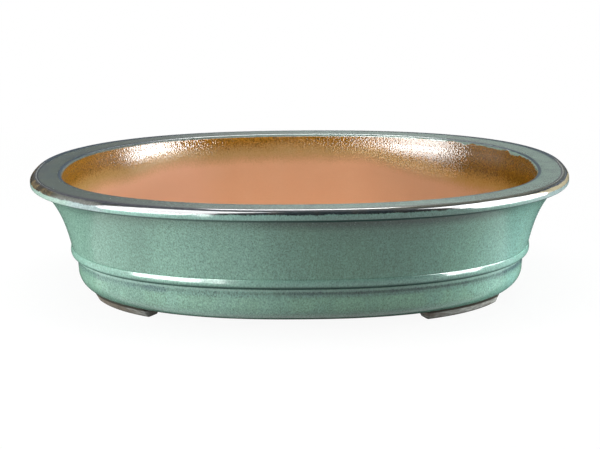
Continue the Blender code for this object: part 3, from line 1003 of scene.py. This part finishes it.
def foot_section(share, shrink):
    """The foot's section, drawn in all round by a shrink, from its face's top to its sole."""
    top_depth = HEEL_WIDTH * (1 - math.cos(math.radians(FOOT_TOP_ANGLE)))
    heel = [point for point in heel_section() if point[1] > top_depth]
    outer_depth = top_depth + mix(FOOT_BATTER_FIRST, FOOT_BATTER_LAST, share) + shrink
    inner_depth = HEEL_WIDTH + FOOT_REACH - shrink
    section = [(depth + FOOT_SINK, height + FOOT_SINK_UP) for _, depth, height in heel]
    section[0] = (section[0][0] + shrink * FOOT_TOP_SHRINK, section[0][1])
    section.append((inner_depth, BASE + FOOT_SINK))
    section += [(inner_depth, FOOT_ROUNDING + shrink), (inner_depth - FOOT_ROUNDING, shrink)]
    slope = (outer_depth - section[0][0]) / (section[0][1] - shrink)
    for turn in shares(FOOT_ROUND_STEPS):
        height = shrink + FOOT_ROUNDING * (1 - math.cos(QUARTER * turn))
        face = outer_depth - slope * (height - shrink)
        section.append((face + FOOT_ROUNDING * (1 - math.sin(QUARTER * turn)), height))
    return section


def make_foot(name, foot_clay, side_x, side_y, first_angle, last_angle):
    """A curved block of bare clay along the oval, with round sloping ends and worn lower edges."""
    top_depth, foot_top = foot_section(0, 0)[0]
    inner_depth = HEEL_WIDTH + FOOT_REACH
    run = math.radians(last_angle - first_angle) * (HALF_LENGTH + HALF_WIDTH) / 2 * FOOT_RUN_SHARE
    end_share = FOOT_END_RADIUS / run
    end = []
    for turn in shares(FOOT_ROUND_STEPS)[:-1]:
        shrink = FOOT_END_RADIUS * (1 - math.sin(QUARTER * turn))
        end.append((end_share * (1 - math.cos(QUARTER * turn)), shrink))
    middle = [(mix(end_share, 1 - end_share, share), 0.0) for share in shares(FOOT_STEPS)]
    far_end = [(1 - share, shrink) for share, shrink in reversed(end)]
    bm = bmesh.new()
    rows = []
    for share, shrink in end + middle + far_end:
        row = []
        for depth, height in foot_section(share, shrink):
            up = height / foot_top
            inward = (depth - top_depth) / (inner_depth - top_depth)
            first = first_angle + FOOT_SPREAD * up
            last = last_angle + FOOT_SPLAY * up - FOOT_TAPER * inward
            x, y = oval(math.radians(mix(first, last, share)), HEEL_LEAN, depth)
            row.append(bm.verts.new((side_x * x, side_y * y, height)))
        rows.append(row)
    skin(bm, rows)
    foot = finish_mesh(bm, name + "_clay")
    foot.data.materials.append(foot_clay)
    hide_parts(name)
    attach(foot, "root")


def softbox(name, azimuth, elevation, distance, width, height, strength, seen_in_gloss):
    """A soft lamp that faces the pot. Azimuth 0 is towards the camera, and 90 is to the right.

    One kind lights the pot, and the other is only seen in its glaze.
    """
    turn, lift = math.radians(azimuth), math.radians(elevation)
    aim = Vector((0, 0, RIM_TOP))
    away = Vector((math.sin(turn) * math.cos(lift), -math.cos(turn) * math.cos(lift), math.sin(lift)))
    lamp = bpy.data.lights.new(name, "AREA")
    lamp.shape = "RECTANGLE"
    lamp.size, lamp.size_y = width, height
    lamp.energy = strength * width * height
    obj = bpy.data.objects.new(name, lamp)
    obj.location = aim + away * distance
    obj.rotation_mode = "QUATERNION"
    obj.rotation_quaternion = away.to_track_quat("Z", "Y")
    obj.visible_camera = False
    obj.visible_glossy = seen_in_gloss
    obj.visible_diffuse = not seen_in_gloss
    bpy.context.scene.collection.objects.link(obj)


def make_ground():
    """A pale floor that reads as white and keeps the pot's shadow."""
    bpy.ops.mesh.primitive_plane_add(size=FLOOR_SIZE)
    ground = bpy.context.object
    ground.name = "studio_floor"
    ground.visible_glossy = False
    finish = Finish("studio_floor")
    seen = finish.node("ShaderNodeLightPath", output="Is Camera Ray")
    finish.surface(finish.blend(FLOOR_AS_LIGHT, FLOOR_SEEN, seen), 0.9, Specular_IOR_Level=0.0)
    distance = finish.node("ShaderNodeVectorMath", {"operation": "LENGTH"}, {0: finish.place}, "Value")
    far = finish.rise(distance, GLOW_NEAR, GLOW_FAR)
    glow = finish.node("ShaderNodeEmission", {}, {"Color": WHITE, "Strength": 1.0})
    finish.lay_over(glow, seen * mix(FLOOR_GLOW, 1, far))
    ground.data.materials.append(finish.material)


def reflected_card(name, place, width, height, level):
    """An upright card that only the pot's glaze sees. The level of its light may vary over it."""
    bpy.ops.mesh.primitive_plane_add(size=1, location=place, rotation=(QUARTER, 0, 0))
    card = bpy.context.object
    card.name = name
    card.scale = (width, height, 1)
    card.visible_camera = False
    card.visible_diffuse = False
    card.visible_transmission = False
    card.visible_shadow = False
    finish = Finish(name)
    point = finish.node("ShaderNodeNewGeometry", output="Position")
    light = level(finish, finish.part(point, "X"), finish.part(point, "Z"))
    finish.feed(finish.shader.inputs["Emission Color"], finish.blend(BLACK, WHITE, light))
    finish.surface(BLACK, 1.0, Specular_IOR_Level=0.0, Emission_Strength=1.0)
    card.data.materials.append(finish.material)


def back_level(finish, x, z):
    """Dark, with a soft glow a little above the rim that is brightest behind the pot's middle."""
    middle = finish.rise(x, -0.6, 0.0) * (1 - finish.rise(x, 0.1, 0.9))
    glow = finish.rise(z, 0.1, 0.5) * (1 - finish.rise(z, 1.2, 1.8))
    return CARD_DARK + glow * (0.12 + middle * 0.33)


def front_level(finish, x, z):
    """Dark all over."""
    return CARD_DARK


def make_world():
    """A white surround for the camera and for reflections, and a dimmer one as light."""
    world = bpy.data.worlds.new("studio")
    bpy.context.scene.world = world
    world.use_nodes = True
    wiring = Wiring(world.node_tree)
    seen = wiring.node("ShaderNodeLightPath", output="Is Camera Ray")
    for ray in ("Is Glossy Ray", "Is Transmission Ray"):
        seen = wiring.greater(seen, wiring.node("ShaderNodeLightPath", output=ray))
    background = wiring.tree.nodes["Background"]
    wiring.feed(background.inputs["Color"], WHITE)
    wiring.feed(background.inputs["Strength"], mix(WORLD_LIGHT, 1, seen))


def make_camera():
    dip, turn = CAMERA_DIP, CAMERA_TURN
    forward = Vector((math.sin(turn) * math.cos(dip), math.cos(turn) * math.cos(dip), -math.sin(dip)))
    right = Vector((math.cos(turn), -math.sin(turn), 0))
    up = right.cross(forward)
    tilted_right = right * math.cos(CAMERA_ROLL) + up * math.sin(CAMERA_ROLL)
    tilted_up = up * math.cos(CAMERA_ROLL) - right * math.sin(CAMERA_ROLL)
    camera_data = bpy.data.cameras.new("camera")
    camera_data.lens = CAMERA_LENS
    camera_data.sensor_width = SENSOR
    camera = bpy.data.objects.new("camera", camera_data)
    axes = Matrix((tilted_right, tilted_up, -forward)).transposed()
    camera.matrix_world = Matrix.Translation(CAMERA_PLACE) @ axes.to_4x4()
    bpy.context.scene.collection.objects.link(camera)
    bpy.context.scene.camera = camera


make_camera()
base_clay = fired_clay("base_clay", is_foot=False)
foot_clay = fired_clay("foot_clay", is_foot=True)
make_wall(base_clay)
make_rim()
make_band()
make_floor(base_clay)
for foot_name, placing in FEET.items():
    make_foot(foot_name, foot_clay, *placing)

make_ground()
reflected_card("back_card", place=(0, 2.2, 3.5), width=9, height=14, level=back_level)
reflected_card("front_card", place=(0, -3.0, 6.4), width=10, height=11.8, level=front_level)
make_world()
# name, azimuth, elevation, distance, width, height, strength, seen in gloss
for lamp in (
    ("left_light", -75, 0, 1.15, 0.9, 0.20, 82, False),
    ("right_light", 101, 2, 2.3, 1.8, 0.48, 108, False),
    ("front_light", -30, 30, 1.3, 1.0, 0.6, 6, False),
    ("top_light", -8, 85, 1.3, 1.2, 0.9, 17, False),
    ("left_softbox", -46.5, 31.5, 0.70, 0.53, 1.05, 70, True),
    ("left_low_softbox", -23.2, 6, 0.70, 0.060, 0.36, 45, True),
    ("right_softbox", 61, 23.5, 0.55, 0.22, 0.60, 90, True),
    ("right_near_softbox", 78, 20.5, 0.43, 0.17, 0.40, 60, True),
    ("right_far_softbox", 51, 18.5, 0.738, 0.10, 0.17, 90, True),
    ("back_softbox", 180, 44, 1.5, 0.46, 0.66, 45, True),
):
    softbox(*lamp)

bpy.context.scene.view_settings.view_transform = "Standard"
